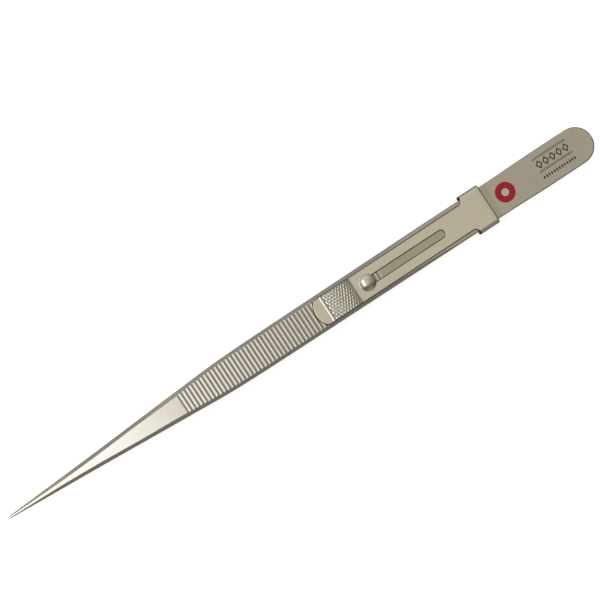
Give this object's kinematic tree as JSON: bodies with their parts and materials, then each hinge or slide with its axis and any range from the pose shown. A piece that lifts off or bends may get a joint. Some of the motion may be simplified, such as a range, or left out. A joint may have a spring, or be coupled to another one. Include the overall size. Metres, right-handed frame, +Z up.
{
  "type": "slide-lock precision tweezers",
  "caption": "Fine-pointed sprung tweezers with ribbed grips, a welded flat tail and a slotted sliding collar that holds the jaws closed.",
  "frame": {"origin": "centre of the footprint, on the surface that the tweezers lie on", "axes": "+X along the tweezers from the tail to the tips, +Y across the leaves, +Z up out of the upper leaf"},
  "size_m": [0.16, 0.0102, 0.0121],
  "materials": {
    "ground_steel": "satin",
    "weld_metal": "matte",
    "formed_sheet": "satin",
    "polished_steel": "polished",
    "red_enamel": "gloss",
    "pale_enamel": "gloss"
  },
  "bodies": {
    "tail": {"upper_tail": "ground_steel", "lower_tail": "ground_steel", "spot_welds": "weld_metal", "badge_enamel": "red_enamel", "badge_centre": "pale_enamel"},
    "upper_leaf": {"upper_arm": "ground_steel", "upper_nose": "ground_steel", "guide_rivet": "polished_steel"},
    "lower_leaf": {"lower_arm": "ground_steel", "lower_nose": "ground_steel"},
    "slide": {"slide_lock": "formed_sheet"}
  },
  "joints": [
    {"name": "upper_arm_flex", "type": "hinge", "parent": "tail", "child": "upper_leaf", "pos_m": [-0.05301, 0, 0.00314], "axis": [0, 1, 0], "range_deg": [0, 1.66], "stiffness_Nm_per_rad": 3},
    {"name": "lower_arm_flex", "type": "hinge", "parent": "tail", "child": "lower_leaf", "pos_m": [-0.05301, 0, 0.00314], "axis": [0, -1, 0], "range_deg": [0, 1.66], "stiffness_Nm_per_rad": 3},
    {"name": "slide_travel", "type": "slide", "parent": "upper_leaf", "child": "slide", "axis": [0.996, 0, 0.0895], "range_m": [0, 0.0203]}
  ],
  "couplings": [
    {"joint": "upper_arm_flex", "follows": "slide_travel", "rad_per_m": 1.4272},
    {"joint": "lower_arm_flex", "follows": "slide_travel", "rad_per_m": 1.4272}
  ]
}
